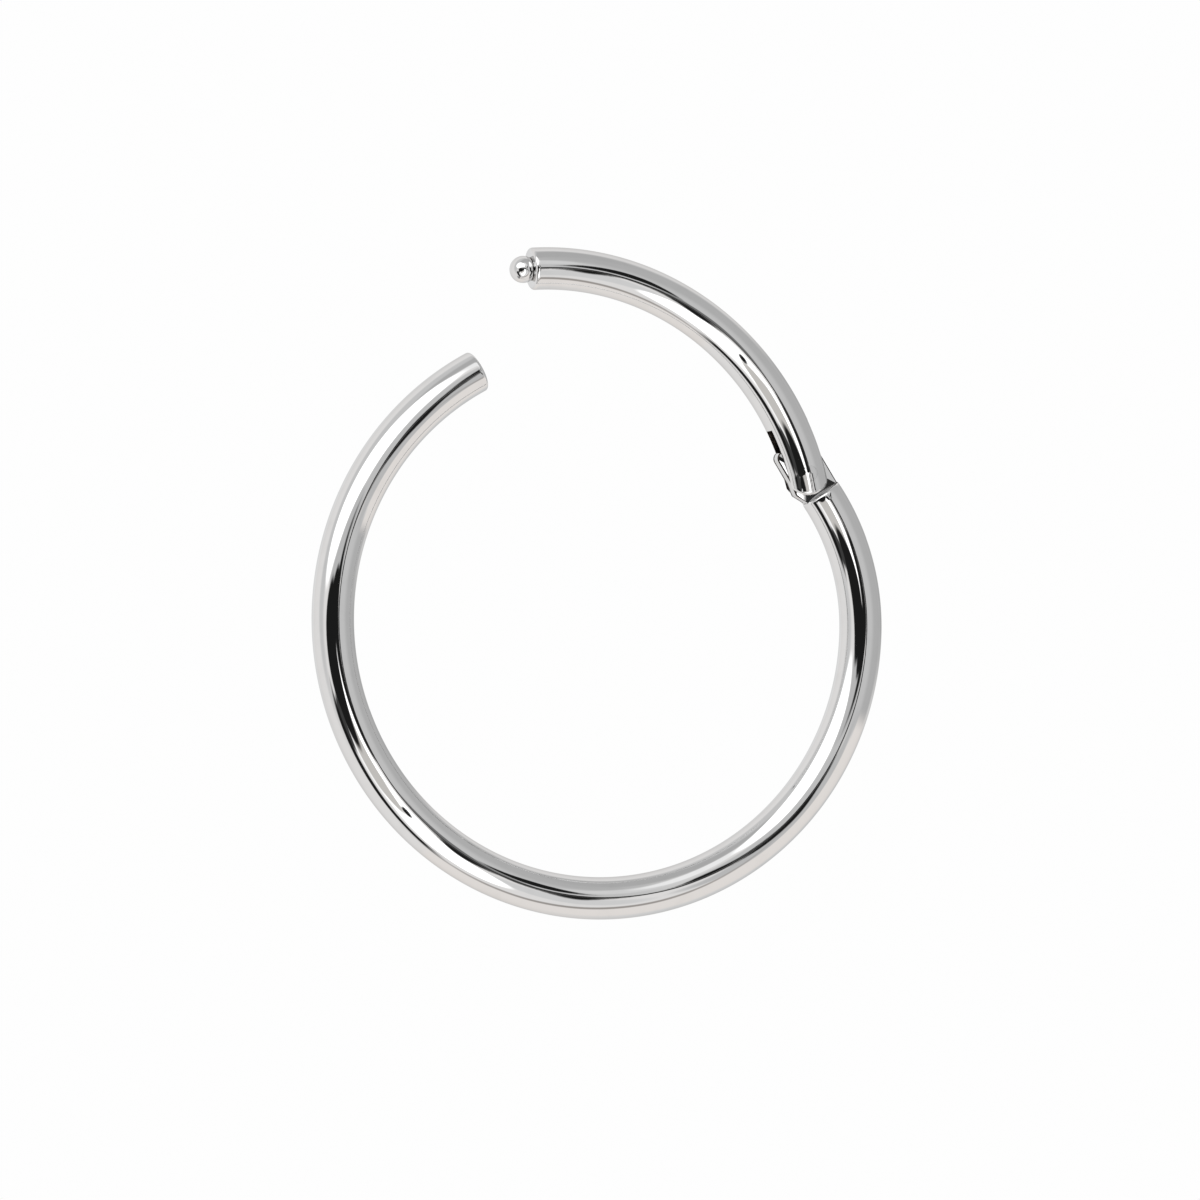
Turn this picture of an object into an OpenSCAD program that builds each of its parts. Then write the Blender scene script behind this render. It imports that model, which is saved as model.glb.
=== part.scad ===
// Nose clicker ring: a round wire hoop with a hinged arm that clicks shut on a ball tip.
// The ring lies flat, with its axis on +Z. The origin is the centre of the hoop.
// The arm is drawn standing open. Lengths are millimetres, angles are degrees from +X.

/* [Ring] */
// Thickness of the round wire
wire_d = 1.0; // [0.9:0.05:1.4]
// Clear width inside the hoop
inner_d = 12.0; // [10:0.5:16]
// Radius of the wire's half towards the free end, which flares a little, as a share of the ring's radius
flare_share = 1.02; // [1.01:0.005:1.03]
// Angle at which the free end stands on the flared half's own circle
free_end_angle = 117.2; // [115:0.1:120]
// Chamfer of the hoop's cut rims
rim_cut = 0.06; // [0.02:0.01:0.07]

/* [Hinge end of the hoop] */
// Angle at which the wire starts to bend inwards
bend_start = -2.0; // [-10:1:5]
// Radius of the bent wire as a share of the ring's radius
bend_share = 0.83; // [0.7:0.01:0.95]
// Turn of the bent wire, up to the shoulder
bend_sweep = 37.2; // [30:0.1:40]
// Gap between the shoulder and the arm's round fork end
fork_gap = 0.065; // [0.05:0.005:0.2]
// Turn of the tongue towards the outside of the ring
tongue_turn = 3.7; // [0:0.1:8]
// Thickness of the tongue between the cheeks
tongue_t = 0.38; // [0.24:0.02:0.4]
// Distance from the pin to the tongue's tip
tongue_reach = 0.76; // [0.6:0.01:0.8]
// Depth of the tongue's outer edge below the wire's surface
back_drop = 0.055; // [0.04:0.005:0.1]
// Rise of the heel at the tongue's inner foot above the wire's surface
heel_rise = 0.09; // [0:0.01:0.12]
// Rise of the tongue's inner edge at its tip above the wire's surface
nose_rise = 0.01; // [-0.05:0.01:0.05]
// Rounding of the tongue's inner tip corner
nose_round = 0.17; // [0.1:0.01:0.3]
// Rounding of the tongue's outer tip corner
back_round = 0.34; // [0.1:0.01:0.4]

/* [Arm] */
// Angle by which the arm stands open from its closed place
open_angle = 18.4; // [0:0.1:85]
// Angle of the pin on the arm's own circle when the arm is closed
closed_pin_angle = 33.6; // [33:0.1:36]
// Arc of the arm from the pin to its end face
arm_sweep = 78.9; // [76:0.1:79.2]
// Extra radius of the round fork end over the wire's
fork_rise = 0.01; // [0.005:0.005:0.03]
// Clearance on each side of the tongue
slot_gap = 0.02; // [0.01:0.005:0.05]
// Distance from the pin to the blind end of the slot
slot_reach = 1.2; // [1.1:0.05:1.5]
// Chamfer of the arm's end rim
tip_cut = 0.11; // [0.04:0.01:0.14]

/* [Pin and catch] */
// Thickness of the hinge pin
pin_d = 0.36; // [0.25:0.01:0.4]
// Distance of the pin from the tongue's axis, towards the inside of the ring
pin_in = 0.09; // [0:0.01:0.12]
// Radial clearance of the pin in the cheeks, where it is pressed in
press_gap = 0.005; // [0.002:0.001:0.01]
// Radial clearance of the pin in the tongue, where it turns
turn_gap = 0.02; // [0.01:0.005:0.04]
// Diameter of the ball tip
ball_d = 0.64; // [0.5:0.02:0.66]
// Distance of the ball's centre past the arm's end face
ball_reach = 0.18; // [0.15:0.01:0.22]
// Radial clearance of the ball in its seat
seat_gap = 0.04; // [0.03:0.01:0.06]
// Depth of the straight part of the seat
seat_depth = 0.5; // [0.44:0.02:0.8]
// Width of the chamfer round the seat's mouth
seat_lip = 0.06; // [0.02:0.01:0.07]

/* [Hidden] */
$fn = 96;
steel = [0.80, 0.80, 0.79];
pin_steel = [0.74, 0.74, 0.73];

wire_r = wire_d / 2;
ring_r = inner_d / 2 + wire_r;
flare_r = ring_r * flare_share;
flare_start = bend_start + 180;
bend_r = ring_r * bend_share;
bend_end = bend_start + bend_sweep;
fork_r = wire_r + fork_rise;
pin_reach = fork_r + fork_gap;
tongue_angle = bend_end + 90 - tongue_turn;
tongue_len = pin_reach + tongue_reach;
slot_w = tongue_t + 2 * slot_gap;
rest_pin_angle = closed_pin_angle - open_angle;
// How far pieces of one solid run into each other, and cuts run past a face
join = 0.1;
past = 1.0;
// Point angle of the drill that makes the seat
drill_angle = 118;

// Point on a circle about the origin
function on_circle(r, a) = [r * cos(a), r * sin(a), 0];

// Angle that a length along an arc takes
function turn_of(len, r) = len / r * 180 / PI;

flare_centre = on_circle(ring_r - flare_r, flare_start);
bend_centre = on_circle(ring_r - bend_r, bend_start);
shoulder = bend_centre + on_circle(bend_r, bend_end);
pin_at = shoulder + on_circle(pin_reach, tongue_angle) + on_circle(pin_in, tongue_angle + 90);
arm_centre = pin_at - on_circle(ring_r, rest_pin_angle);

// Round wire bent to an arc about +Z, from +X on through a sweep
module wire_arc(r, sweep) {
    rotate_extrude(angle = sweep)
        translate([r, 0])
            circle(r = wire_r);
}

// Places a child on an arc's centreline with its +Z along the arc, towards larger angles
module along_arc(r, a) {
    rotate([0, 0, a])
        translate([r, 0, 0])
            rotate([-90, 0, 0])
                children();
}

// Ring of waste that chamfers the rim of a wire whose cut end stands at z = 0, below it
module rim_waste(cut) {
    foot = cut + join;
    difference() {
        translate([0, 0, -foot])
            cylinder(r = wire_r + past, h = foot + join);
        translate([0, 0, -foot - join])
            cylinder(r1 = wire_r + 2 * join, r2 = wire_r - cut - 2 * join, h = foot + 3 * join);
    }
}

// Blind seat for the ball, bored from z = 0 towards +Z, with a chamfered mouth
module ball_seat() {
    seat_r = ball_d / 2 + seat_gap;
    translate([0, 0, -past])
        cylinder(r = seat_r, h = past + seat_depth);
    translate([0, 0, seat_depth])
        cylinder(r1 = seat_r, r2 = 0, h = seat_r / tan(drill_angle / 2));
    translate([0, 0, -seat_lip])
        cylinder(r1 = seat_r + 2 * seat_lip, r2 = seat_r, h = 2 * seat_lip);
}

// What a rounded corner takes away, drawn from the centre of its rounding
module corner_waste(r) {
    difference() {
        square(r + join);
        circle(r = r);
    }
}

// Outline of the tongue: x along it from the shoulder, y towards the inside of the ring
module tongue_outline() {
    back_h = wire_r - back_drop;
    root_step = 0.05;
    root_h = back_h - root_step;
    heel_x = 0.27;
    heel_h = wire_r + heel_rise;
    waist_x = 0.59;
    waist_step = 0.01;
    nose_h = wire_r + nose_rise;
    waist_h = nose_h + waist_step;
    difference() {
        polygon([
            [-join, -root_h],
            [0, -back_h],
            [tongue_len, -back_h],
            [tongue_len, nose_h],
            [waist_x, waist_h],
            [heel_x, heel_h],
            [0, back_h],
            [-join, root_h]
        ]);
        translate([tongue_len - nose_round, nose_h - nose_round])
            corner_waste(nose_round);
        translate([tongue_len - back_round, back_round - back_h])
            mirror([0, 1])
                corner_waste(back_round);
    }
}

// Flat tongue past the shoulder, centred on the ring's mid-plane
module tongue() {
    translate(shoulder)
        rotate([0, 0, tongue_angle])
            linear_extrude(height = tongue_t, center = true)
                tongue_outline();
}

// Wire of the hoop: the lower half circle, the tighter arc at the hinge and the flared arc at the free end
module hoop_wire() {
    rotate([0, 0, bend_start]) {
        mirror([0, 1, 0])
            wire_arc(ring_r, 180);
        translate([ring_r - bend_r, 0, 0])
            wire_arc(bend_r, bend_sweep);
        translate([flare_r - ring_r, 0, 0])
            mirror([1, 0, 0])
                wire_arc(flare_r, flare_start - free_end_angle);
    }
}

// Fixed part of the ring: wire from the free end round to the hinge, with tongue and seat
module hoop() {
    color(steel)
        difference() {
            union() {
                difference() {
                    hoop_wire();
                    translate(flare_centre)
                        along_arc(flare_r, free_end_angle)
                            mirror([0, 0, 1])
                                rim_waste(rim_cut);
                    translate(bend_centre)
                        along_arc(bend_r, bend_end)
                            rim_waste(rim_cut);
                }
                tongue();
            }
            translate(pin_at)
                cylinder(r = pin_d / 2 + turn_gap, h = wire_d, center = true);
            translate(flare_centre)
                along_arc(flare_r, free_end_angle)
                    ball_seat();
        }
}

// What the round end of the fork leaves away, drawn from the pin with the arm along +X
module fork_waste() {
    difference() {
        translate([-past, -past, -past])
            cube([past, 2 * past, 2 * past]);
        cylinder(r = fork_r, h = 3 * past, center = true);
    }
}

// Hinged part of the ring: forked and slotted at the pin, with a ball tip at its free end
module arm() {
    fork_turn = turn_of(fork_r + join, ring_r);
    color(steel)
        difference() {
            union() {
                translate(arm_centre)
                    difference() {
                        rotate([0, 0, rest_pin_angle - fork_turn])
                            wire_arc(ring_r, fork_turn + arm_sweep);
                        along_arc(ring_r, rest_pin_angle + arm_sweep)
                            rim_waste(tip_cut);
                    }
                translate(arm_centre)
                    along_arc(ring_r, rest_pin_angle + arm_sweep)
                        translate([0, 0, ball_reach])
                            sphere(d = ball_d);
            }
            translate(pin_at)
                rotate([0, 0, rest_pin_angle + 90]) {
                    fork_waste();
                    translate([-past, -past, -slot_w / 2])
                        cube([past + slot_reach, 2 * past, slot_w]);
                    cylinder(r = pin_d / 2 + press_gap, h = 2 * wire_d, center = true);
                }
        }
}

// Pin through both cheeks and the tongue, ground flush with the wire
module hinge_pin() {
    half_turn = turn_of(pin_d, ring_r);
    color(pin_steel)
        intersection() {
            translate(pin_at)
                cylinder(d = pin_d, h = 2 * wire_d, center = true);
            translate(arm_centre)
                rotate([0, 0, rest_pin_angle - half_turn])
                    wire_arc(ring_r, 2 * half_turn);
        }
}

hoop();
arm();
hinge_pin();
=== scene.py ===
"""Nose clicker ring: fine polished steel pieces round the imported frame, in soft studio light.

Lengths are millimetres and angles are degrees where nothing else is said. Finished meshes are
in metres.
"""

import logging
import math
from collections.abc import Callable
from dataclasses import dataclass
from enum import Enum

import bmesh
import bpy
from bmesh.types import BMEdge, BMesh, BMFace, BMVert
from mathutils import Matrix, Vector


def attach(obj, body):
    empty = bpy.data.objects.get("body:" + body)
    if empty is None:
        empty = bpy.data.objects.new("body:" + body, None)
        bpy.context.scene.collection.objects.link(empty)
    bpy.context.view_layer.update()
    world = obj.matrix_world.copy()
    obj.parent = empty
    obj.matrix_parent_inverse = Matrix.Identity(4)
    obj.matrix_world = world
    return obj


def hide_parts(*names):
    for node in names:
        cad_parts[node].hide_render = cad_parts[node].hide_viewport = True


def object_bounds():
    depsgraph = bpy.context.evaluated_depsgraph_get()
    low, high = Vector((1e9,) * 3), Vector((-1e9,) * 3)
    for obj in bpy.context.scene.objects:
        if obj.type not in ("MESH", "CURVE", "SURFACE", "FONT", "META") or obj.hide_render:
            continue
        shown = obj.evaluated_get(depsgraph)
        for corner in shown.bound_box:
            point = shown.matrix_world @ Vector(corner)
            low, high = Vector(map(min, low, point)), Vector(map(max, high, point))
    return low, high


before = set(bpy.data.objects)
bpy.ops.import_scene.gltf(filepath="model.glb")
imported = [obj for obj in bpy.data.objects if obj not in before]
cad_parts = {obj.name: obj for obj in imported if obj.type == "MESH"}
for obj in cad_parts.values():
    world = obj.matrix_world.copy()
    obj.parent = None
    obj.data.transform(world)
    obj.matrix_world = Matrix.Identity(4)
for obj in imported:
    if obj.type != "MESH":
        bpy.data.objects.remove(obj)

CAD_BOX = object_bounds()
LOG = logging.getLogger("clicker_ring")

MM = 0.001
Z_AXIS = Vector((0.0, 0.0, 1.0))
# Points nearer than this many millimetres are one point
WELD = 2e-5
# Faces that meet more sharply than this many degrees show an edge
SHARP = 30.0
# Shares of a thinned length at which it gets a ring of edges
THIN_CUTS = (0.0, 0.03, 0.25, 0.5, 0.75)
# A wire is dressed over this many times its thinned length at most
THIN_RUN = 2.0
# Faces up to this many millimetres further away still belong to the wire's end
END_ZONE = 1.0
# Place of the raw finish, painted near-black as shade, among a piece's finishes
SHADED_RAW_FINISH = 1

Colour = tuple[float, float, float]
Span = tuple[float, float]
Socket = bpy.types.NodeSocket


class Body(Enum):
    """The bodies that the pieces ride on."""

    HOOP = "hoop"
    ARM = "arm"


class Slot(Enum):
    """The record's material slots."""

    RING = "polished_steel"
    PIN = "pin_steel"


class Cut(Enum):
    """How a tool shape changes another one."""

    JOIN = "UNION"
    REMOVE = "DIFFERENCE"
    KEEP = "INTERSECT"


def on_circle(radius: float, angle: float) -> Vector:
    """Gives a point on a circle about the origin.

    Args:
        radius: The circle's radius.
        angle: The angle from +X in degrees.

    Returns:
        The point, at z = 0.
    """
    turn = math.radians(angle)
    return Vector((radius * math.cos(turn), radius * math.sin(turn), 0.0))


def turned(angle: float) -> Matrix:
    """A turn about +Z by some degrees."""
    return Matrix.Rotation(math.radians(angle), 4, "Z")


def across_wire(centre: Vector, radius: float, angle: float) -> Matrix:
    """Works out how a flat shape stands across a wire that is bent round a centre.

    Args:
        centre: The centre of the bend.
        radius: The radius of the wire's centreline.
        angle: Where on the bend, in degrees from +X.

    Returns:
        The place, from the XY plane at the origin.
    """
    upright = Matrix.Rotation(math.radians(90), 4, "X")
    return Matrix.Translation(centre) @ turned(angle) @ Matrix.Translation((radius, 0, 0)) @ upright


def grey(value: float) -> Colour:
    """A neutral colour."""
    return (value, value, value)


def new_object(name: str, data: bpy.types.ID) -> bpy.types.Object:
    """Puts a mesh or a camera into the scene."""
    made = bpy.data.objects.new(name, data)
    bpy.context.scene.collection.objects.link(made)
    return made


@dataclass(frozen=True)
class Taper:
    """How the end of a wire is dressed thinner along +Z and -Z.

    Its upper and lower sides come in by the drop over the reach, evenly with a power of 1 and
    ever faster with more.
    """

    wire_r: float
    reach: float
    drop: float
    power: float = 1.0


@dataclass(frozen=True)
class RingSizes:
    """Driving sizes of the ring, and where they put its main points."""

    wire_d: float = 1.0
    inner_d: float = 12.0
    flare_share: float = 1.02
    free_end_angle: float = 117.2
    bend_start: float = -2.0
    bend_share: float = 0.83
    bend_sweep: float = 37.2
    tongue_turn: float = 3.7
    fork_gap: float = 0.065
    fork_rise: float = 0.01
    pin_in: float = 0.09
    closed_pin_angle: float = 33.6
    open_angle: float = 18.4
    arm_sweep: float = 78.9
    tongue_t: float = 0.38
    pin_d: float = 0.36
    ball_d: float = 0.64
    fork_drop: float = 0.05

    @property
    def wire_r(self) -> float:
        """Radius of the round wire."""
        return self.wire_d / 2

    @property
    def ring_r(self) -> float:
        """Radius of the ring's centreline."""
        return self.inner_d / 2 + self.wire_r

    @property
    def fork_r(self) -> float:
        """Radius of the fork's round end about the pin."""
        return self.wire_r + self.fork_rise

    @property
    def pin_reach(self) -> float:
        """Distance along the tongue from the shoulder to the pin."""
        return self.fork_r + self.fork_gap

    @property
    def flare_r(self) -> float:
        """Centreline radius of the half towards the free end."""
        return self.ring_r * self.flare_share

    @property
    def flare_start(self) -> float:
        """Angle at which the wire starts to flare out."""
        return self.bend_start + 180

    @property
    def flare_centre(self) -> Vector:
        """Centre of the flared half."""
        return on_circle(self.ring_r - self.flare_r, self.flare_start)

    @property
    def bend_r(self) -> float:
        """Centreline radius of the tighter stretch at the hinge end."""
        return self.ring_r * self.bend_share

    @property
    def bend_centre(self) -> Vector:
        """Centre of the tighter stretch."""
        return on_circle(self.ring_r - self.bend_r, self.bend_start)

    @property
    def bend_end(self) -> float:
        """Angle at which the wire stops at its shoulder."""
        return self.bend_start + self.bend_sweep

    @property
    def shoulder(self) -> Vector:
        """Middle of the shoulder face."""
        return self.bend_centre + on_circle(self.bend_r, self.bend_end)

    @property
    def tongue_angle(self) -> float:
        """Direction in which the tongue points."""
        return self.bend_end + 90 - self.tongue_turn

    @property
    def pin_at(self) -> Vector:
        """Middle of the hinge pin."""
        along = on_circle(self.pin_reach, self.tongue_angle)
        return self.shoulder + along + on_circle(self.pin_in, self.tongue_angle + 90)

    @property
    def rest_pin_angle(self) -> float:
        """Angle of the pin on the open arm's own circle."""
        return self.closed_pin_angle - self.open_angle

    @property
    def arm_centre(self) -> Vector:
        """Centre of the open arm's circle."""
        return self.pin_at - on_circle(self.ring_r, self.rest_pin_angle)

    def thin_fork(self, wire: "Shape") -> None:
        """Dresses the arm's wire down from the pin towards the fork's end."""
        taper = Taper(self.wire_r, self.fork_r, self.fork_drop)
        wire.thin(self.pin_at, on_circle(1.0, self.rest_pin_angle - 90), taper)


def loop_verts(edges: list[BMEdge]) -> list[BMVert]:
    """The vertices of some edges, each once, in a steady order."""
    return list(dict.fromkeys(v for e in edges for v in e.verts))


class Shape:
    """A mesh in the making, in millimetres, shaped step by step with mesh operators."""

    def __init__(self) -> None:
        """Starts with nothing in it."""
        self.bm: BMesh = bmesh.new()

    def circle(self, radius: float, sides: int, place: Matrix) -> list[BMEdge]:
        """Adds an open circle.

        Args:
            radius: The circle's radius.
            sides: The number of its edges.
            place: Where it goes, from the XY plane at the origin.

        Returns:
            The circle's edges.
        """
        made = bmesh.ops.create_circle(self.bm, segments=sides, radius=radius, cap_ends=False)
        bmesh.ops.transform(self.bm, matrix=place, verts=made["verts"])
        return list(dict.fromkeys(e for v in made["verts"] for e in v.link_edges))

    def sweep(self, edges: list[BMEdge], centre: Vector, angle: float, step: float) -> list[BMEdge]:
        """Sweeps a loop of edges round a centre, about +Z.

        Args:
            edges: The loop to sweep.
            centre: The centre of the turn.
            angle: The whole turn in degrees, with its sign.
            step: The turn of one step in degrees.

        Returns:
            The loop at the far end.
        """
        made = bmesh.ops.spin(
            self.bm,
            geom=loop_verts(edges) + edges,
            cent=centre,
            axis=Z_AXIS,
            dvec=Vector(),
            angle=math.radians(angle),
            steps=max(1, round(abs(angle) / step)),
            use_merge=False,
            use_duplicate=False,
        )
        return [e for e in made["geom_last"] if isinstance(e, BMEdge)]

    def turn_in(self, edges: list[BMEdge], centre: Vector, inward: Vector,
                steps: list[tuple[float, float]]) -> None:
        """Carries an end loop on through a turned outline, as on a lathe, down to a point.

        Args:
            edges: The loop at the end of the wire.
            centre: The middle of the end face.
            inward: The direction into the wire.
            steps: Radius and depth of each further ring. A radius of 0 closes it to a point.
        """
        for radius, depth in steps:
            made = bmesh.ops.extrude_edge_only(self.bm, edges=edges)
            verts = [v for v in made["geom"] if isinstance(v, BMVert)]
            edges = [e for e in made["geom"] if isinstance(e, BMEdge)]
            middle = sum((v.co for v in verts), Vector()) / len(verts)
            goal = centre + inward * depth
            if radius == 0.0:
                bmesh.ops.pointmerge(self.bm, verts=verts, merge_co=goal)
                return
            share = radius / (verts[0].co - middle).length
            bmesh.ops.scale(self.bm, vec=Vector((share, share, share)), verts=verts,
                            space=Matrix.Translation(-middle))
            bmesh.ops.translate(self.bm, vec=goal - middle, verts=verts)

    def cap(self, edges: list[BMEdge]) -> None:
        """Closes a loop with one flat face."""
        bmesh.ops.edgeloop_fill(self.bm, edges=edges)

    def soften(self, edges: list[BMEdge], width: float, segments: int) -> None:
        """Rounds edges.

        Args:
            edges: The edges to round.
            width: How far the rounding reaches on each side.
            segments: The number of its steps.
        """
        bmesh.ops.bevel(
            self.bm,
            geom=edges,
            offset=width,
            offset_type="OFFSET",
            segments=segments,
            profile=0.5,
            affect="EDGES",
            material=-1,
            clamp_overlap=True,
        )

    def sharp_edges(self, where: Callable[[Vector], bool]) -> list[BMEdge]:
        """Finds the edges whose faces meet sharply.

        Args:
            where: Says whether an edge's middle lies in the wanted place.

        Returns:
            The edges.
        """
        limit = math.radians(SHARP)
        return [
            e for e in self.bm.edges
            if len(e.link_faces) == 2 and e.calc_face_angle() > limit
            and where((e.verts[0].co + e.verts[1].co) / 2)
        ]

    def score(self, faces: list[BMFace], spot: Vector, normal: Vector) -> None:
        """Draws edges on some faces where a plane meets them.

        Args:
            faces: The faces.
            spot: A point of the plane.
            normal: The plane's direction.
        """
        edges = list(dict.fromkeys(e for f in faces for e in f.edges))
        verts = list(dict.fromkeys(v for f in faces for v in f.verts))
        bmesh.ops.bisect_plane(self.bm, geom=verts + edges + faces, dist=WELD,
                               plane_co=spot, plane_no=normal)

    def thin(self, foot: Vector, along: Vector, taper: Taper) -> None:
        """Dresses the end of a wire down.

        Args:
            foot: Where on the wire the thinning starts.
            along: The direction towards the wire's end.
            taper: How it gets thinner.
        """
        near = THIN_RUN * taper.reach + END_ZONE
        for share in THIN_CUTS:
            faces = [f for f in self.bm.faces if (f.calc_center_median() - foot).length < near]
            self.score(faces, foot + along * taper.reach * share, along)
        for vert in self.bm.verts:
            way = (vert.co - foot).dot(along) / taper.reach
            if 0 < way < THIN_RUN and (vert.co - foot).length < near:
                vert.co.z *= 1 - taper.drop / taper.wire_r * way ** taper.power

    def paint(self, where: Callable[[BMFace], bool], index: int) -> None:
        """Gives some faces another of the piece's finishes."""
        for face in self.bm.faces:
            if where(face):
                face.material_index = index

    def tidy(self) -> None:
        """Merges doubled points and turns every face outwards."""
        bmesh.ops.remove_doubles(self.bm, verts=self.bm.verts, dist=WELD)
        bmesh.ops.recalc_face_normals(self.bm, faces=self.bm.faces)

    def as_object(self, name: str) -> bpy.types.Object:
        """Puts the shape into an object, and gives the shape up.

        Args:
            name: The object's name.

        Returns:
            The object, still in millimetres.
        """
        self.tidy()
        mesh = bpy.data.meshes.new(name)
        self.bm.to_mesh(mesh)
        self.bm.free()
        return new_object(name, mesh)

    def combine(self, tool: "Shape", how: Cut) -> None:
        """Joins a tool shape to this one, cuts it away, or keeps what both hold.

        Args:
            tool: The other shape, which is used up.
            how: What to do with it.
        """
        body, other = self.as_object("body"), tool.as_object("tool")
        modifier = body.modifiers.new("carve", "BOOLEAN")
        modifier.operation = how.value
        modifier.solver = "EXACT"
        modifier.object = other
        evaluated = body.evaluated_get(bpy.context.evaluated_depsgraph_get())
        self.bm = bmesh.new()
        self.bm.from_mesh(evaluated.to_mesh())
        evaluated.to_mesh_clear()
        for used in (body, other):
            mesh = used.data
            bpy.data.objects.remove(used)
            bpy.data.meshes.remove(mesh)

    def finish(self, name: str) -> bpy.types.Object:
        """Makes the finished piece, in metres, with smooth faces and crisp edges.

        Args:
            name: The piece's name.

        Returns:
            The piece, with its place in its mesh.
        """
        for face in self.bm.faces:
            face.smooth = True
        bmesh.ops.triangulate(self.bm, faces=[f for f in self.bm.faces if len(f.verts) > 4])
        made = self.as_object(name)
        made.data.transform(Matrix.Scale(MM, 4))
        made.data.set_sharp_from_angle(angle=math.radians(SHARP))
        modifier = made.modifiers.new("even shading", "WEIGHTED_NORMAL")
        modifier.mode = "FACE_AREA"
        modifier.keep_sharp = True
        return made


def box_shape(low: Vector, high: Vector, place: Matrix) -> Shape:
    """Makes a box.

    Args:
        low: Its lowest corner.
        high: Its highest corner.
        place: Where it goes.

    Returns:
        The box.
    """
    made = Shape()
    size = high - low
    spot = place @ Matrix.Translation((low + high) / 2) @ Matrix.Diagonal((*size, 1.0))
    bmesh.ops.create_cube(made.bm, size=1.0, matrix=spot)
    return made


def rod_shape(radius: float, length: float, sides: int, place: Matrix) -> Shape:
    """Makes a straight rod along +Z, centred on its place.

    Args:
        radius: Its radius.
        length: Its length.
        sides: The number of its sides.
        place: Where it goes.

    Returns:
        The rod.
    """
    made = Shape()
    bmesh.ops.create_cone(made.bm, cap_ends=True, segments=sides, radius1=radius, radius2=radius,
                          depth=length, matrix=place)
    return made


# The pieces


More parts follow.
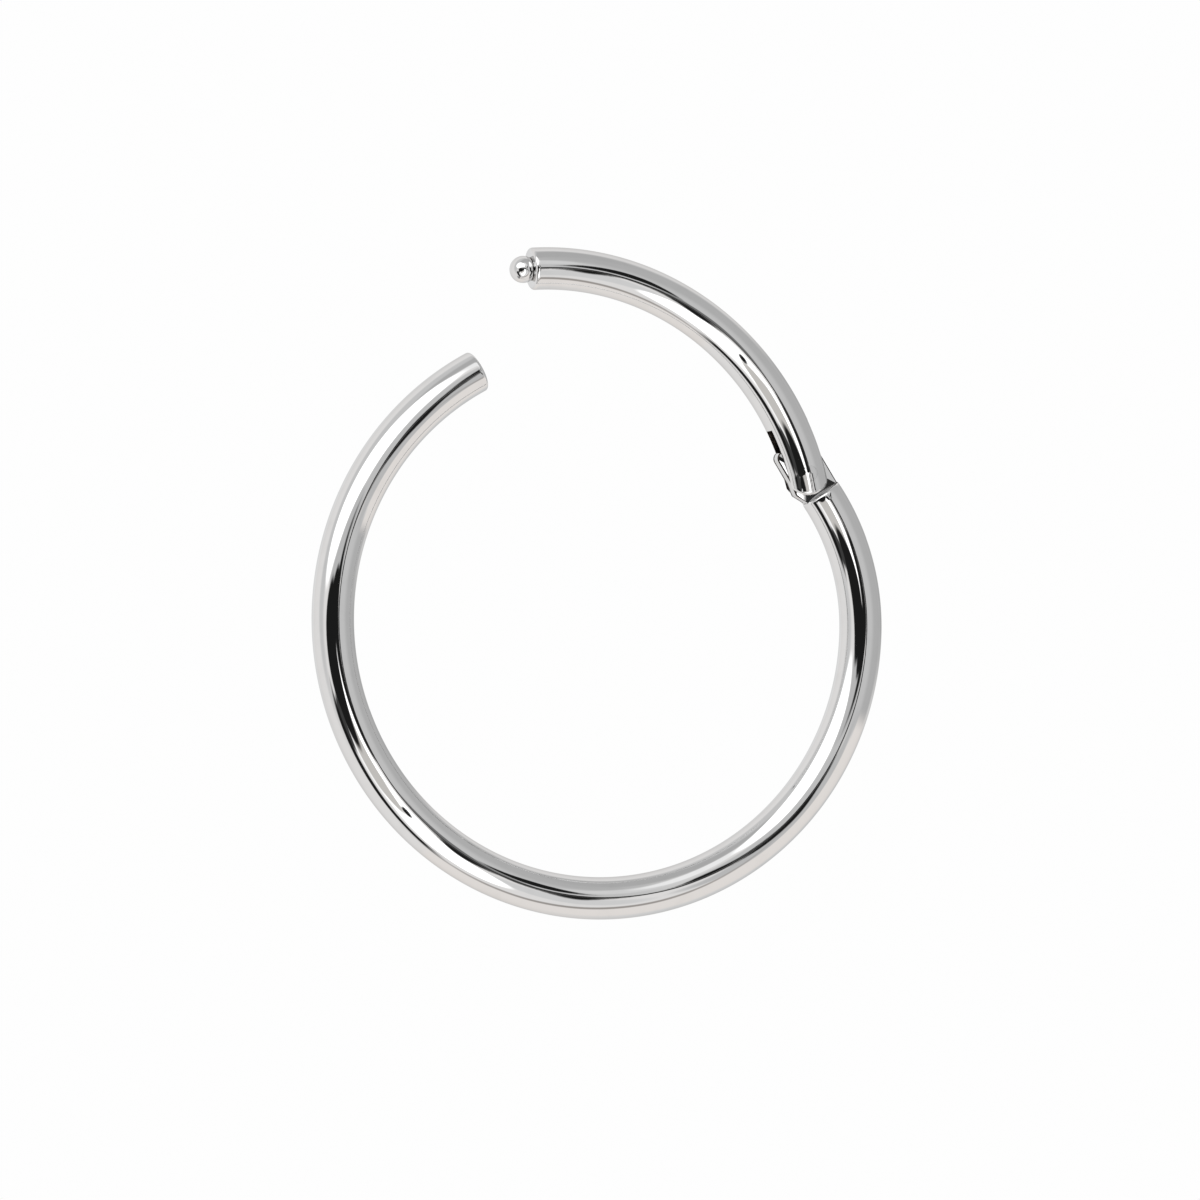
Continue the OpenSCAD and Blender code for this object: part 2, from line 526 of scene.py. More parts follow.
@dataclass(frozen=True)
class Hoop:
    """The fixed part of the ring: wire, seat for the ball, shoulder and tongue."""

    sizes: RingSizes
    sides: int = 96
    step: float = 1.0
    rim_round: float = 0.075
    shoulder_round: float = 0.05
    rim_steps: int = 6
    thin_reach: float = 0.2
    thin_drop: float = 0.02
    thin_power: float = 2.0
    seat_gap: float = 0.04
    seat_depth: float = 0.5
    seat_lip: float = 0.06
    drill_angle: float = 118.0
    tongue_reach: float = 0.76
    back_drop: float = 0.055
    heel_x: float = 0.27
    heel_rise: float = 0.09
    waist_x: float = 0.59
    nose_rise: float = 0.04
    nose_round: float = 0.17
    nose_steps: int = 8
    back_round: float = 0.34
    back_steps: int = 12
    root: float = 0.1
    edge_round: float = 0.03
    edge_steps: int = 3
    # The stamp leaves the tongue's edge torn below this height, where its colour is painted near-black
    # as shade
    torn_shade_top: float = -0.08
    # Distances from the shoulder between which the tongue's edge stays raw and is painted near-black as
    # shade
    shaded_raw_start: float = 0.0075
    shaded_raw_end: float = 2.0
    # Most rise of a side's normal, and least rise of a flat face's
    side_rise: float = 0.05
    flat_rise: float = 0.98
    turn_gap: float = 0.02
    bore_sides: int = 64

    def wire(self) -> Shape:
        """Bends the wire, bores the seat into its free end and faces its shoulder.

        Returns:
            The wire as one closed shape.
        """
        s = self.sizes
        shape = Shape()
        start = shape.circle(s.wire_r, self.sides, across_wire(Vector(), s.ring_r, s.bend_start))
        half_way = shape.sweep(start, Vector(), -180, self.step)
        free_end = shape.sweep(half_way, s.flare_centre, s.free_end_angle - s.flare_start, self.step)
        shoulder = shape.sweep(start, s.bend_centre, s.bend_sweep, self.step)
        seat_r = s.ball_d / 2 + self.seat_gap
        point = self.seat_depth + seat_r / math.tan(math.radians(self.drill_angle / 2))
        shape.turn_in(
            free_end,
            s.flare_centre + on_circle(s.flare_r, s.free_end_angle),
            on_circle(1.0, s.free_end_angle + 90),
            [(seat_r + self.seat_lip, 0.0), (seat_r, self.seat_lip), (seat_r, self.seat_depth),
             (0.0, point)],
        )
        shape.cap(shoulder)
        shape.soften(free_end, self.rim_round, self.rim_steps)
        shape.soften(shoulder, self.shoulder_round, self.rim_steps)
        end_way = on_circle(1.0, s.bend_end + 90)
        taper = Taper(s.wire_r, self.thin_reach, self.thin_drop, self.thin_power)
        shape.thin(s.shoulder - end_way * self.thin_reach, end_way, taper)
        return shape

    def tongue(self) -> Shape:
        """Cuts the flat tongue, with its heel and its round nose.

        Returns:
            The tongue, its root inside the wire.
        """
        s = self.sizes
        back, nose = s.wire_r - self.back_drop, s.wire_r + self.nose_rise
        length = s.pin_reach + self.tongue_reach
        half = s.tongue_t / 2
        outline = [
            (-self.root, -back), (length, -back), (length, nose), (self.waist_x, nose),
            (self.heel_x, s.wire_r + self.heel_rise), (0.0, back), (-self.root, back),
        ]
        shape = Shape()
        face = shape.bm.faces.new([shape.bm.verts.new((x, y, -half)) for x, y in outline])
        made = bmesh.ops.extrude_face_region(shape.bm, geom=[face])
        top = [v for v in made["geom"] if isinstance(v, BMVert)]
        bmesh.ops.translate(shape.bm, vec=(0, 0, s.tongue_t), verts=top)
        for y, radius, steps in ((nose, self.nose_round, self.nose_steps),
                                 (-back, self.back_round, self.back_steps)):
            corner = [
                e for e in shape.bm.edges
                if all(abs(v.co.x - length) < WELD and abs(v.co.y - y) < WELD for v in e.verts)
            ]
            shape.soften(corner, radius, steps)
        shape.tidy()
        shape.soften(shape.sharp_edges(lambda p: p.x > 0), self.edge_round, self.edge_steps)
        shape.score(list(shape.bm.faces), Z_AXIS * self.torn_shade_top, Z_AXIS)
        place = Matrix.Translation(s.shoulder) @ turned(s.tongue_angle)
        bmesh.ops.transform(shape.bm, matrix=place, verts=shape.bm.verts)
        return shape

    def is_shaded_raw(self, face: BMFace) -> bool:
        """Whether a face is on the tongue's softened edge or on the torn part of its side.

        Args:
            face: A face of the whole fixed part.

        Returns:
            True where no polishing wheel reaches and painted shade darkens the tongue's edge.
        """
        way = face.calc_center_median() - self.sizes.shoulder
        rise = abs(face.normal.z)
        past_shoulder = way.dot(on_circle(1.0, self.sizes.tongue_angle)) > self.shaded_raw_start
        soft_edge = self.side_rise < rise < self.flat_rise
        torn_side = rise <= self.side_rise and way.z < self.torn_shade_top
        return past_shoulder and way.length < self.shaded_raw_end and (soft_edge or torn_side)

    def build(self) -> bpy.types.Object:
        """Makes the whole fixed part.

        Returns:
            The finished piece.
        """
        s = self.sizes
        shape = self.wire()
        shape.combine(self.tongue(), Cut.JOIN)
        place = Matrix.Translation(s.pin_at)
        bore = rod_shape(s.pin_d / 2 + self.turn_gap, s.wire_d, self.bore_sides, place)
        shape.combine(bore, Cut.REMOVE)
        # Painted shade: the tongue's edge faces take the near-black finish
        shape.paint(self.is_shaded_raw, SHADED_RAW_FINISH)
        return shape.finish("hoop_wire")


@dataclass(frozen=True)
class Arm:
    """The hinged part of the ring: forked wire with a ball tip."""

    sizes: RingSizes
    sides: int = 96
    step: float = 1.0
    tip_round: float = 0.08
    tip_steps: int = 8
    ball_reach: float = 0.18
    ball_sides: int = 64
    slot_gap: float = 0.02
    slot_reach: float = 1.2
    press_gap: float = 0.001
    bore_sides: int = 64
    past: float = 1.0
    fork_round: float = 0.07
    fork_sides: int = 128
    fork_steps: int = 6
    # How far the round end's own shape stands out of the wire on each side
    proud: float = 0.002
    spoke_cuts: int = 14
    edge_round: float = 0.02
    edge_steps: int = 3
    # Least rise of the normals of the slot's walls, and least share by which those of its blind
    # end point towards the pin
    wall_rise: float = 0.9
    end_facing: float = 0.7
    # The fork is finished as far from the pin as this many times the slot reaches
    zone_share: float = 1.2

    @property
    def slot_half(self) -> float:
        """Half of the slot's width."""
        return self.sizes.tongue_t / 2 + self.slot_gap

    @property
    def hinge_zone(self) -> float:
        """Distance from the pin within which the fork is finished."""
        return (self.slot_reach + self.edge_round) * self.zone_share

    @property
    def along(self) -> Vector:
        """Direction from the pin along the arm."""
        return on_circle(1.0, self.sizes.rest_pin_angle + 90)

    def wire(self) -> Shape:
        """Bends the arm's wire, with a rounded end face at its tip.

        Returns:
            The wire, which still runs on past the pin.
        """
        s = self.sizes
        run_on = math.degrees(s.fork_r / s.ring_r) + self.step
        shape = Shape()
        place = across_wire(s.arm_centre, s.ring_r, s.rest_pin_angle - run_on)
        start = shape.circle(s.wire_r, self.sides, place)
        tip = shape.sweep(start, s.arm_centre, run_on + s.arm_sweep, self.step)
        shape.cap(start)
        shape.cap(tip)
        shape.soften(tip, self.tip_round, self.tip_steps)
        s.thin_fork(shape)
        return shape

    def ball(self) -> Shape:
        """Turns the ball at the tip.

        Returns:
            The ball, partly inside the wire.
        """
        s = self.sizes
        tip_angle = s.rest_pin_angle + s.arm_sweep
        centre = s.arm_centre + on_circle(s.ring_r, tip_angle)
        centre += on_circle(self.ball_reach, tip_angle + 90)
        shape = Shape()
        tilt = turned(tip_angle) @ Matrix.Rotation(math.radians(-90), 4, "X")
        bmesh.ops.create_uvsphere(shape.bm, u_segments=self.ball_sides, v_segments=self.ball_sides // 2,
                                  radius=s.ball_d / 2, matrix=Matrix.Translation(centre) @ tilt)
        return shape

    def round_end(self) -> Shape:
        """Turns the fork's round end about the pin, with a soft rim that follows the wire's round.

        Returns:
            The round end, a hair thicker than the wire.
        """
        s = self.sizes
        shape = Shape()
        bmesh.ops.create_cone(shape.bm, cap_ends=True, cap_tris=True, segments=self.fork_sides,
                              radius1=s.fork_r, radius2=s.fork_r, depth=s.wire_d + 2 * self.proud,
                              matrix=Matrix.Translation(s.pin_at))
        rim = [e for e in shape.bm.edges if abs(e.verts[0].co.z - e.verts[1].co.z) < WELD
               and all((v.co - s.pin_at).xy.length > s.fork_r / 2 for v in e.verts)]
        shape.soften(rim, self.fork_round, self.fork_steps)
        spokes = [e for e in shape.bm.edges
                  if any((v.co - s.pin_at).xy.length < WELD for v in e.verts)]
        bmesh.ops.subdivide_edges(shape.bm, edges=spokes, cuts=self.spoke_cuts)
        for vert in shape.bm.verts:
            beside = (vert.co - s.arm_centre).xy.length - s.ring_r
            vert.co.z *= math.sqrt(1 - (beside / (s.fork_r + self.proud)) ** 2)
        s.thin_fork(shape)
        return shape

    def fork_waste(self, place: Matrix) -> Shape:
        """Makes what the fork's round end leaves away.

        Args:
            place: The pin's place, with the arm along +X.

        Returns:
            The waste.
        """
        reach = Vector((self.past, self.past, self.past))
        shape = box_shape(-reach, Vector((0, self.past, self.past)), place)
        shape.combine(self.round_end(), Cut.REMOVE)
        return shape

    def on_fork_end(self, spot: Vector) -> bool:
        """Whether a point stands near the fork's round end."""
        way = spot - self.sizes.pin_at
        return (abs(way.xy.length - self.sizes.fork_r) < self.fork_round
                and way.dot(self.along) < WELD)

    def is_softened(self, spot: Vector) -> bool:
        """Whether a sharp edge at a point of the fork gets softened.

        Args:
            spot: The edge's middle.

        Returns:
            True but on the round end's outer rim, which its own tool has rounded.
        """
        on_rim = self.on_fork_end(spot) and abs(spot.z) > self.slot_half + WELD
        return (spot - self.sizes.pin_at).length < self.hinge_zone and not on_rim

    def is_shaded_raw(self, face: BMFace) -> bool:
        """Whether a face is a wall of the slot or its blind end.

        Args:
            face: A face of the whole hinged part.

        Returns:
            True where no polishing wheel reaches and painted shade darkens the slot.
        """
        spot = face.calc_center_median()
        in_slot = (abs(spot.z) < self.slot_half + WELD
                   and (spot - self.sizes.pin_at).length < self.hinge_zone)
        wall = abs(face.normal.z) > self.wall_rise
        blind_end = face.normal.dot(-self.along) > self.end_facing and not self.on_fork_end(spot)
        return in_slot and (wall or blind_end)

    def build(self) -> bpy.types.Object:
        """Makes the whole hinged part.

        Returns:
            The finished piece.
        """
        s = self.sizes
        shape = self.wire()
        shape.combine(self.ball(), Cut.JOIN)
        place = Matrix.Translation(s.pin_at) @ turned(s.rest_pin_angle + 90)
        shape.combine(self.fork_waste(place), Cut.REMOVE)
        slot = box_shape(Vector((-self.past, -self.past, -self.slot_half)),
                         Vector((self.slot_reach, self.past, self.slot_half)), place)
        shape.combine(slot, Cut.REMOVE)
        shape.tidy()
        shape.soften(shape.sharp_edges(self.is_softened), self.edge_round, self.edge_steps)
        bore = rod_shape(s.pin_d / 2 + self.press_gap, 2 * s.wire_d, self.bore_sides, place)
        shape.combine(bore, Cut.REMOVE)
        # Painted shade: the slot's walls and blind end take the near-black finish
        shape.paint(self.is_shaded_raw, SHADED_RAW_FINISH)
        return shape.finish("arm_wire")


@dataclass(frozen=True)
class HingePin:
    """The pin through the fork and the tongue, ground to the wire's round."""

    sizes: RingSizes
    sides: int = 64
    wire_sides: int = 96
    step: float = 0.4
    edge_round: float = 0.006
    edge_steps: int = 2

    def build(self) -> bpy.types.Object:
        """Makes the pin.

        Returns:
            The finished piece.
        """
        s = self.sizes
        reach = math.degrees(s.pin_d / s.ring_r)
        place = across_wire(s.arm_centre, s.ring_r, s.rest_pin_angle - reach)
        wire = Shape()
        start = wire.circle(s.wire_r, self.wire_sides, place)
        end = wire.sweep(start, s.arm_centre, 2 * reach, self.step)
        wire.cap(start)
        wire.cap(end)
        s.thin_fork(wire)
        shape = rod_shape(s.pin_d / 2, 2 * s.wire_d, self.sides, Matrix.Translation(s.pin_at))
        shape.combine(wire, Cut.KEEP)
        shape.tidy()
        shape.soften(shape.sharp_edges(lambda spot: True), self.edge_round, self.edge_steps)
        return shape.finish("pin_heads")


# Finishes and light


class Graph:
    """A node tree that is built from left to right."""

    def __init__(self, tree: bpy.types.NodeTree) -> None:
        """Clears the tree.

        Args:
            tree: The node tree of a material or of the world.
        """
        tree.nodes.clear()
        self.tree = tree

    def feed(self, end: Socket, value: object) -> None:
        """Links an input to a socket, or gives it its own value."""
        if isinstance(value, Socket):
            self.tree.links.new(value, end)
        else:
            end.default_value = value

    def node(self, kind: str, inputs: dict[str | int, object] | None = None,
             **settings: object) -> bpy.types.Node:
        """Adds a node.

        Args:
            kind: The node's type.
            inputs: Values and sockets for its inputs.
            settings: Its other settings.

        Returns:
            The node.
        """
        made = self.tree.nodes.new(kind)
        for name, value in settings.items():
            setattr(made, name, value)
        for name, value in (inputs or {}).items():
            self.feed(made.inputs[name], value)
        return made

    def calc(self, operation: str, *values: object) -> Socket:
        """Works out a number from numbers and sockets.

        Args:
            operation: The sum to do.
            values: What it works on.

        Returns:
            The result's socket.
        """
        return self.node("ShaderNodeMath", dict(enumerate(values)), operation=operation).outputs[0]

    def along(self, direction: Socket, axis: Vector) -> Socket:
        """How far a direction runs along an axis."""
        inputs = {0: direction, 1: axis}
        return self.node("ShaderNodeVectorMath", inputs, operation="DOT_PRODUCT").outputs["Value"]

    def spot_in_mm(self, centre: Vector) -> Socket:
        """The place on the piece in millimetres, from a centre."""
        place = self.node("ShaderNodeTexCoord").outputs["Object"]
        inputs = {"Vector": place, "Location": -centre, "Scale": Vector((1, 1, 1)) / MM}
        return self.node("ShaderNodeMapping", inputs).outputs["Vector"]

    def rise(self, value: Socket, low: float, high: float,
             start: float = 0.0, end: float = 1.0) -> Socket:
        """Carries a value smoothly from one range to another.

        Args:
            value: What is read.
            low: Where the rise starts.
            high: Where it ends.
            start: The result below it.
            end: The result above it.

        Returns:
            The result's socket.
        """
        inputs = {"Value": value, "From Min": low, "From Max": high, "To Min": start, "To Max": end}
        made = self.node("ShaderNodeMapRange", inputs, interpolation_type="SMOOTHSTEP")
        return made.outputs["Result"]

    def blend(self, share: Socket, under: object, over: object) -> Socket:
        """Mixes two colours.

        Args:
            share: How much of the second one shows.
            under: The first colour or its socket.
            over: The second colour or its socket.

        Returns:
            The mixed colour's socket.
        """
        made = self.node("ShaderNodeMix", data_type="RGBA")
        # The node's factor and its two colours stand in these places
        for index, value in ((0, share), (6, under), (7, over)):
            self.feed(made.inputs[index], value if isinstance(value, Socket) else (*value, 1.0))
        return made.outputs[2]


def new_finish(name: str) -> tuple[bpy.types.Material, Graph]:
    """Starts a material, and gives it with its nodes."""
    made = bpy.data.materials.new(name)
    made.use_nodes = True
    return made, Graph(made.node_tree)


@dataclass(frozen=True)
class Noise:
    """A cloudy pattern. Its scale is in features per millimetre."""

    scale: float
    detail: float
    roughness: float = 0.5

    def add(self, g: Graph, spot: Socket) -> Socket:
        """Adds the pattern to some nodes.

        Args:
            g: The material's nodes.
            spot: Where on the piece it is read.

        Returns:
            The pattern's value.
        """
        inputs = {"Vector": spot, "Scale": self.scale, "Detail": self.detail,
                  "Roughness": self.roughness}
        return g.node("ShaderNodeTexNoise", inputs).outputs[0]


@dataclass(frozen=True)
class PolishedSteel:
    """Mirror-polished steel with a faint wave, soft haze, hair-fine polishing lines and painted shade
    in its creases.

    A span says at what value of its pattern something starts to show, and where it shows fully.
    """

    name: str
    centre: Vector
    tint: Colour = grey(0.71)
    hazed: Colour = grey(0.685)
    # Painted shade: the near-black colour that creases and narrow gaps take
    crevice_shade: Colour = (0.1, 0.085, 0.075)
    rim: Colour = grey(0.72)
    # Roughness of the clear and of the hazed metal, and what the polishing lines add
    clear: float = 0.012
    haze: float = 0.035
    scratched: float = 0.02
    # Heights of the wave and of the polishing lines, and how far the painted crease shade reaches, in
    # metres
    wave: float = 0.00002
    lines: float = 0.00000012
    shade_reach: float = 0.00004
    shade_rays: int = 6
    shade_span: Span = (0.3, 0.8)
    wave_noise: Noise = Noise(0.35, 1.0)
    haze_noise: Noise = Noise(1.9, 5.0, 0.6)
    tint_span: Span = (0.45, 0.75)
    haze_span: Span = (0.4, 0.8)
    line_noise: Noise = Noise(30.0, 3.0)
    line_span: Span = (0.62, 0.8)
    # Length of the polishing lines' pattern for each radian of turn
    line_length: float = 1.5

    def drawn_round(self, g: Graph, spot: Socket) -> Socket:
        """Draws a pattern's place out round the ring.

        Args:
            g: The material's nodes.
            spot: The place on the piece.

        Returns:
            The turn about the ring's axis, the way out from it and the height.
        """
        parts = g.node("ShaderNodeSeparateXYZ", {0: spot}).outputs
        turn = g.calc("ARCTAN2", parts["Y"], parts["X"])
        out = g.calc("SQRT", g.calc("ADD", g.calc("MULTIPLY", parts["X"], parts["X"]),
                                    g.calc("MULTIPLY", parts["Y"], parts["Y"])))
        inputs = {0: g.calc("MULTIPLY", turn, self.line_length), 1: out, 2: parts["Z"]}
        return g.node("ShaderNodeCombineXYZ", inputs).outputs[0]

    def build(self) -> bpy.types.Material:
        """Makes the material.

        Returns:
            The material.
        """
        made, g = new_finish(self.name)
        spot = g.spot_in_mm(self.centre)
        wave = self.wave_noise.add(g, spot)
        haze = self.haze_noise.add(g, spot)
        line = self.line_noise.add(g, self.drawn_round(g, spot))
        worn = g.calc("ADD", g.rise(haze, *self.haze_span, self.clear, self.haze),
                      g.rise(line, *self.line_span, 0.0, self.scratched))
        # Painted shade: ambient occlusion blends the colour towards near-black where the surface is
        # hemmed in
        open_share = g.node("ShaderNodeAmbientOcclusion", {"Distance": self.shade_reach},
                            samples=self.shade_rays).outputs["AO"]
        unshaded = g.blend(g.rise(haze, *self.tint_span), self.tint, self.hazed)
        colour = g.blend(g.rise(open_share, *self.shade_span), self.crevice_shade, unshaded)
        low = g.node("ShaderNodeBump", {"Strength": 1.0, "Distance": self.wave, "Height": wave})
        fine = g.node("ShaderNodeBump", {"Strength": 1.0, "Distance": self.lines, "Height": line,
                                         "Normal": low.outputs[0]})
        steel = g.node("ShaderNodeBsdfPrincipled", {"Base Color": colour, "Metallic": 1.0,
                                                    "Roughness": worn, "Normal": fine.outputs[0],
                                                    "Specular Tint": (*self.rim, 1.0)})
        g.node("ShaderNodeOutputMaterial", {"Surface": steel.outputs[0]})
        return made


@dataclass(frozen=True)
class ShadedRawSteel:
    """Steel that no polishing wheel reaches, on the slot's walls and the tongue's stamped edges, with
    its colour painted near-black as shade.
    """

    name: str
    # Painted shade: both stain colours are near-black, for the dark deep in the slot and along the
    # tongue's edges
    dark: Colour = (0.03, 0.025, 0.022)
    light: Colour = (0.075, 0.06, 0.05)
    smooth: float = 0.3
    rough: float = 0.55
    # Height of the grain in metres
    grain: float = 0.000002
    stain_noise: Noise = Noise(6.0, 4.0)
    grain_noise: Noise = Noise(60.0, 2.0)
    stain_span: Span = (0.45, 0.8)
    rough_span: Span = (0.3, 0.7)

    def build(self) -> bpy.types.Material:
        """Makes the material.

        Returns:
            The material.
        """
        made, g = new_finish(self.name)
        spot = g.spot_in_mm(Vector())
        stain = self.stain_noise.add(g, spot)
        grain = self.grain_noise.add(g, spot)
        bump = g.node("ShaderNodeBump", {"Strength": 1.0, "Distance": self.grain, "Height": grain})
        steel = g.node("ShaderNodeBsdfPrincipled", {
            "Base Color": g.blend(g.rise(stain, *self.stain_span), self.dark, self.light),
            "Metallic": 1.0,
            "Roughness": g.rise(stain, *self.rough_span, self.smooth, self.rough),
            "Normal": bump.outputs[0],
        })
        g.node("ShaderNodeOutputMaterial", {"Surface": steel.outputs[0]})
        return made


class Chart(Enum):
    """The two ways to say where a panel shows in the polished wire."""

    # Turn of the surface that shows it, and how far that surface leans from facing up
    TURN = "turn and lean"
    # The same, drawn flat: for what shows in surfaces that face nearly up
    TOP = "flat"


@dataclass(frozen=True)
class Panel:
    """A panel of the light tent, placed where a surface that shows it to the camera faces.

    A surface's facing is given in degrees: across is its turn and along its lean, or both are
    its leans towards +X and +Y.
    """

    across: float
    along: float
    half_across: float
    half_along: float
    tint: Colour
    edge: float = 3.0
    side_edge: float = 0.0
    slope: float = 0.0
    roll: float = 0.0
    square: bool = False
    chart: Chart = Chart.TURN

    def mask(self, g: Graph, charts: dict[Chart, tuple[Socket, Socket]]) -> Socket:
        """Works out where the panel is.

        Args:
            g: The world's nodes.
            charts: The two coordinates of each chart.

        Returns:
            1 on the panel, 0 off it, and between over its soft edge.
        """
        first, second = charts[self.chart]
        x = g.calc("SUBTRACT", first, self.across)
        y = g.calc("SUBTRACT", second, self.along)
        if self.roll:
            cos, sin = math.cos(math.radians(self.roll)), math.sin(math.radians(self.roll))
            x, y = (g.calc("MULTIPLY_ADD", x, cos, g.calc("MULTIPLY", y, sin)),
                    g.calc("MULTIPLY_ADD", x, -sin, g.calc("MULTIPLY", y, cos)))
        if self.slope:
            y = g.calc("MULTIPLY_ADD", x, -self.slope, y)
        x = g.calc("MULTIPLY", x, 1 / self.half_across)
        y = g.calc("MULTIPLY", y, 1 / self.half_along)
        soft = self.edge / self.half_along
        if not self.square:
            far = g.calc("MULTIPLY_ADD", x, x, g.calc("MULTIPLY", y, y))
            return g.rise(far, 1 + soft, 1 - soft)
        side = (self.side_edge or self.edge) / self.half_across / 2
        return g.calc("MULTIPLY", g.rise(g.calc("ABSOLUTE", x), 1 + side, 1 - side),
                      g.rise(g.calc("ABSOLUTE", y), 1 + soft / 2, 1 - soft / 2))


WHITE = grey(2.2)
BLACK = grey(0.015)
CREAM = (1.02, 0.975, 0.94)

WALLS = (
    # Grey wall on the right, on both sides of the seam
    Panel(380, 21, 44, 24, grey(0.72), edge=10, side_edge=8, square=True),
    Panel(45, 21, 60, 24, grey(0.72), edge=10, side_edge=24, square=True),
    Panel(380, 33, 42, 15, grey(0.58), edge=14, side_edge=6, square=True),
    Panel(45, 33, 52, 15, grey(0.58), edge=14, side_edge=24, square=True),
    Panel(380, 53, 30, 9, grey(0.62), edge=8, side_edge=20, square=True),
    Panel(20, 53, 24, 9, grey(0.62), edge=8, side_edge=20, square=True),
    Panel(27, 62, 13, 8, grey(0.65), edge=8),
    Panel(105, 40, 32, 12, grey(0.55), edge=6),
    Panel(150, 50, 50, 8, grey(0.74), edge=6),
    # Cream wall behind, with its dark upper rim
    Panel(283, 46, 52, 20, CREAM, edge=5, slope=-0.44, square=True),
    Panel(315, 40, 25, 20, CREAM, edge=5, square=True),
    Panel(314, 11, 28, 9, grey(0.66)),
    Panel(268, 31, 36, 3, (0.42, 0.39, 0.37), slope=-0.44),
    # Table, lighter on the left and darker behind
    Panel(150, 96, 60, 15, grey(1.12), edge=10),
    Panel(305, 66, 40, 12, grey(0.9), edge=10),
)
SKY = (
    Panel(140, 8, 32, 8, grey(0.72), edge=4),
    Panel(164, 18, 12, 18, grey(0.66), edge=4),
    Panel(100, 16, 18, 6, grey(0.86), edge=4, slope=0.2),
    Panel(262, 14, 18, 8, grey(0.84), edge=4),
)
SOFTBOXES = (
    Panel(112, 22, 15, 6, grey(1.15), slope=0.3),
    Panel(147, 31, 25, 15, WHITE, edge=4, slope=0.3),
    Panel(231, 22, 19, 13.5, WHITE),
    Panel(211, 22, 12, 10, (0.74, 0.72, 0.69), edge=2),
    Panel(208, 9.5, 20, 3.2, WHITE, edge=1.5, slope=-0.12),
    Panel(210, 33, 15, 2, grey(1.3), edge=2),
)
CAMERA_SHADES = (
    Panel(189, 24, 18, 12.5, BLACK, edge=2),
    Panel(177, 14, 9, 8, BLACK, edge=2),
    Panel(184, 6, 26, 4.5, BLACK, edge=2, slope=-0.1),
    Panel(203, 3.2, 13, 2, BLACK, edge=1.5, slope=-0.2),
    Panel(201, 37, 6, 5, grey(0.06), edge=2),
    Panel(210, 43, 17, 4.2, BLACK, edge=2),
    Panel(215, 44, 18, 3.5, BLACK, edge=2, side_edge=8, square=True),
    Panel(222.8, 15.5, 1.3, 4.5, BLACK, edge=2),
    # Thin struts overhead
    Panel(0, 0, 1.2, 1.2, BLACK, edge=0.6, chart=Chart.TOP),
    Panel(-1.9, 4.2, 3.8, 0.7, BLACK, edge=0.5, roll=113, chart=Chart.TOP),
    Panel(2.0, 2.6, 2.8, 0.7, grey(0.2), edge=0.5, roll=52, chart=Chart.TOP),
    Panel(4.0, -4.0, 5.0, 1.1, BLACK, edge=0.6, roll=-45, chart=Chart.TOP),
    Panel(-0.7, -5.0, 4.8, 0.6, BLACK, edge=0.5, roll=83, chart=Chart.TOP),
    Panel(-2.9, -4.6, 5.0, 0.7, BLACK, edge=0.5, roll=57, chart=Chart.TOP),
    Panel(2.3, 8.3, 5.0, 1.7, BLACK, edge=0.6, roll=74, chart=Chart.TOP),
)


@dataclass(frozen=True)
class Camera:
    """The camera, as the photo's scale, centre and tilt place it."""

    frame_px: float = 1200.0
    px_per_mm: float = 42.54
    ring_px: tuple[float, float] = (597.3, 621.95)
    tilt: float = 17.54
    side: float = 7.0
    lens: float = 1000.0
    sensor: float = 36.0
    # How near and how far it sees, in metres
    nearest: float = 0.01
    farthest: float = 5.0

    def axes(self) -> tuple[Vector, Vector, Vector]:
        """Works out how the camera stands.

        Returns:
            Its directions to the right, up and back towards itself.
        """
        tilt, side = math.radians(self.tilt), math.radians(self.side)
        across = on_circle(math.cos(tilt), self.side) + Z_AXIS * math.sin(tilt)
        beside = on_circle(1.0, self.side + 90)
        right = across * math.cos(side) - beside * math.sin(side)
        up = across * math.sin(side) + beside * math.cos(side)
        return right, up, right.cross(up)

    def build(self) -> bpy.types.Object:
        """Places the camera.

        Returns:
            The camera.
        """
        right, up, back = self.axes()
        middle = self.frame_px / 2
        aim = (right * (middle - self.ring_px[0]) + up * (self.ring_px[1] - middle)) / self.px_per_mm
        distance = self.frame_px / self.px_per_mm * self.lens / self.sensor
        data = bpy.data.cameras.new("camera")
        data.sensor_width = self.sensor
        data.lens = self.lens
        data.clip_start = self.nearest
        data.clip_end = self.farthest
        made = new_object("camera", data)
        turn = Matrix((right, up, back)).transposed().to_4x4()
        made.matrix_world = Matrix.Translation((aim + back * distance) * MM) @ turn
        bpy.context.scene.camera = made
        return made


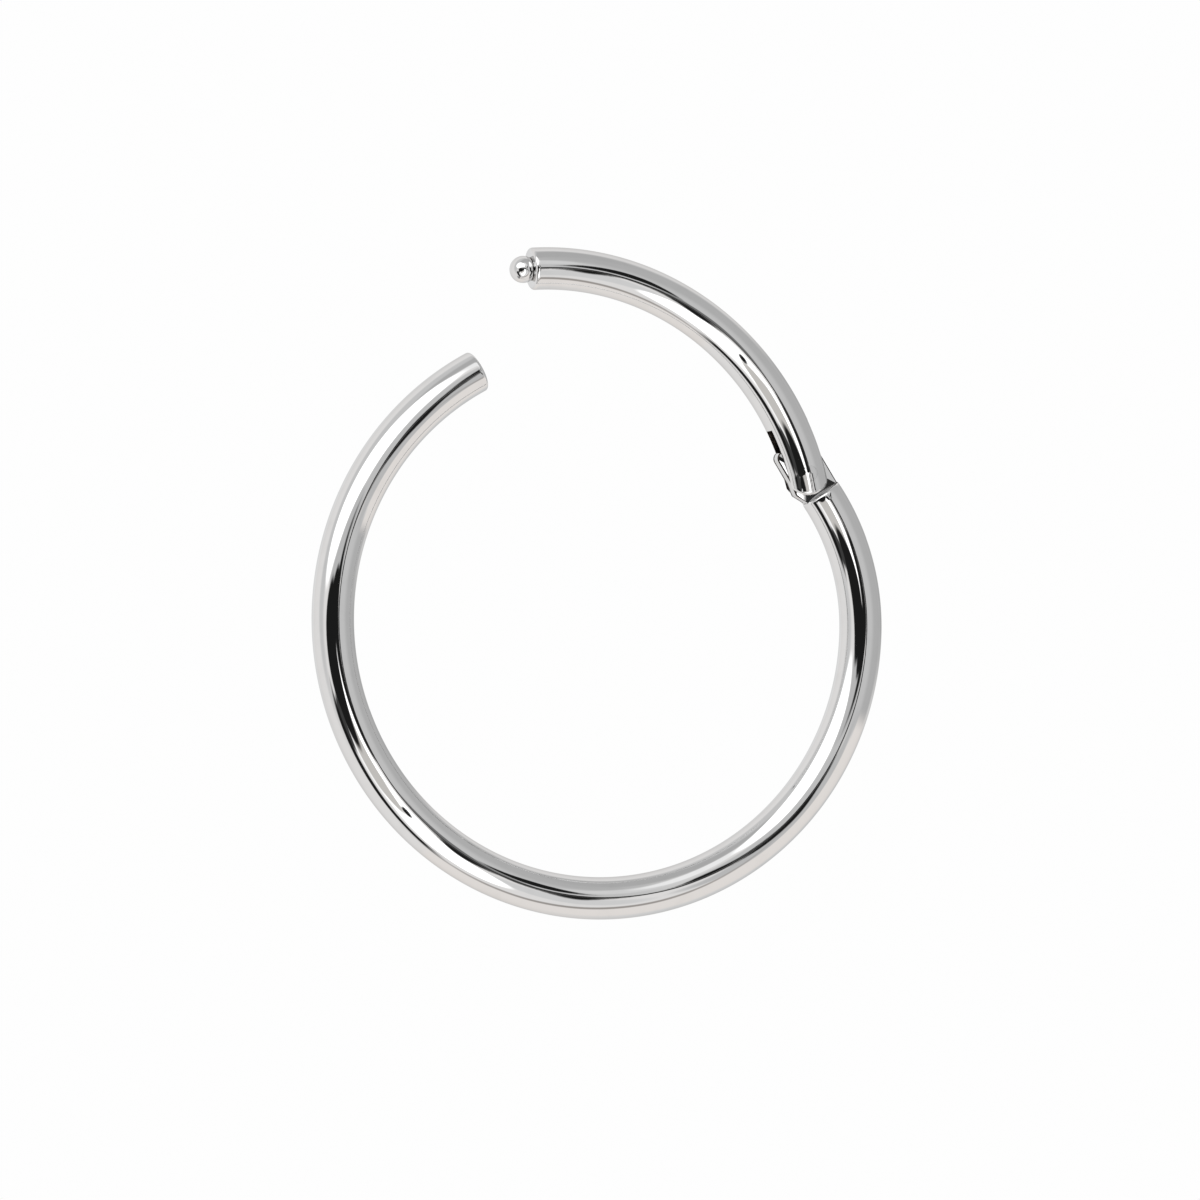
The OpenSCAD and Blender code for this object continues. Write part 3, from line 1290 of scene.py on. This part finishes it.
@dataclass(frozen=True)
class Studio:
    """Plain pale table and the soft light tent round it."""

    towards_camera: Vector
    # Radius of the table in metres
    table_r: float = 0.9
    table_sides: int = 96
    pale: Colour = grey(0.99)
    tent_base: Colour = (0.99, 0.975, 0.965)
    # Turn at which the tent's plain wall is joined
    seam: float = 20.0
    panels: tuple[Panel, ...] = WALLS + SKY + SOFTBOXES + CAMERA_SHADES

    def table(self) -> bpy.types.Object:
        """Makes the evenly lit table top that the ring lies on.

        Returns:
            The table top.
        """
        bm = bmesh.new()
        bmesh.ops.create_circle(bm, cap_ends=True, segments=self.table_sides, radius=self.table_r,
                                matrix=Matrix.Translation((0, 0, CAD_BOX[0].z)))
        mesh = bpy.data.meshes.new("table_top")
        bm.to_mesh(mesh)
        bm.free()
        made = new_object("table_top", mesh)
        finish, g = new_finish("table_top")
        glow = g.node("ShaderNodeEmission", {"Color": (*self.pale, 1.0), "Strength": 1.0})
        g.node("ShaderNodeOutputMaterial", {"Surface": glow.outputs[0]})
        mesh.materials.append(finish)
        # The wire shows the tent alone, which has the table's light in its lower part
        made.visible_glossy = False
        return made

    def charts(self, g: Graph) -> dict[Chart, tuple[Socket, Socket]]:
        """Works out how a surface faces that shows a direction of the tent to the camera.

        Args:
            g: The world's nodes.

        Returns:
            The facing's two coordinates in each chart.
        """
        looked = g.node("ShaderNodeTexCoord").outputs["Generated"]
        between = g.node("ShaderNodeVectorMath", {0: looked, 1: self.towards_camera}, operation="ADD")
        normal = g.node("ShaderNodeVectorMath", {0: between.outputs[0]}, operation="NORMALIZE")
        facing = normal.outputs[0]
        to_degrees = math.degrees(1)
        opposite = self.seam + 180
        turn = g.calc("ARCTAN2", g.along(facing, on_circle(1.0, opposite + 90)),
                      g.along(facing, on_circle(1.0, opposite)))
        parts = g.node("ShaderNodeSeparateXYZ", {0: facing}).outputs
        return {
            Chart.TURN: (g.calc("MULTIPLY_ADD", turn, to_degrees, opposite),
                         g.calc("MULTIPLY", g.calc("ARCCOSINE", parts["Z"]), to_degrees)),
            Chart.TOP: (g.calc("MULTIPLY", parts["X"], to_degrees),
                        g.calc("MULTIPLY", parts["Y"], to_degrees)),
        }

    def light(self) -> None:
        """Hangs the tent's panels round the ring."""
        world = bpy.data.worlds.new("light_tent")
        world.use_nodes = True
        world.cycles.sampling_method = "NONE"
        bpy.context.scene.world = world
        g = Graph(world.node_tree)
        charts = self.charts(g)
        colour: object = self.tent_base
        for panel in self.panels:
            colour = g.blend(panel.mask(g, charts), colour, panel.tint)
        tent = g.node("ShaderNodeBackground", {"Color": colour, "Strength": 1.0})
        backdrop = g.node("ShaderNodeBackground", {"Color": (*self.pale, 1.0), "Strength": 1.0})
        seen = g.node("ShaderNodeLightPath").outputs["Is Camera Ray"]
        both = g.node("ShaderNodeMixShader", {0: seen, 1: tent.outputs[0], 2: backdrop.outputs[0]})
        g.node("ShaderNodeOutputWorld", {"Surface": both.outputs[0]})


# How far in metres the painted crease shade reaches in the small parts of the hinge
HINGE_SHADE_REACH = 0.00002


def place_piece(piece: bpy.types.Object, finishes: list[bpy.types.Material], body: Body,
                node: str) -> None:
    """Dresses a piece and fixes it to its body.

    Args:
        piece: The finished piece.
        finishes: Its materials, in the order that its faces name them.
        body: The body that it moves with.
        node: The CAD node that it stands for.
    """
    for finish in finishes:
        piece.data.materials.append(finish)
    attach(piece, body.value)
    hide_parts(node)
    LOG.info("%s: %d faces, rides on %s", piece.name, len(piece.data.polygons), body.value)


def main() -> None:
    """Builds the ring, the studio and the camera."""
    logging.basicConfig(level=logging.INFO, format="%(message)s")
    sizes = RingSizes()
    camera = Camera()
    camera.build()
    studio = Studio(camera.axes()[2])
    studio.table()
    studio.light()
    bpy.context.scene.view_settings.view_transform = "Standard"
    hoop_steel = PolishedSteel("hoop_steel", Vector()).build()
    arm_steel = PolishedSteel("arm_steel", sizes.arm_centre, shade_reach=HINGE_SHADE_REACH).build()
    pin_steel = PolishedSteel("pin_steel", sizes.arm_centre, tint=grey(0.67),
                              shade_reach=HINGE_SHADE_REACH).build()
    shaded_raw_steel = ShadedRawSteel("shaded_raw_steel").build()
    place_piece(Hoop(sizes).build(), [hoop_steel, shaded_raw_steel], Body.HOOP, "hoop")
    place_piece(Arm(sizes).build(), [arm_steel, shaded_raw_steel], Body.ARM, "arm")
    place_piece(HingePin(sizes).build(), [pin_steel], Body.ARM, "hinge_pin")


if __name__ == "__main__":
    main()
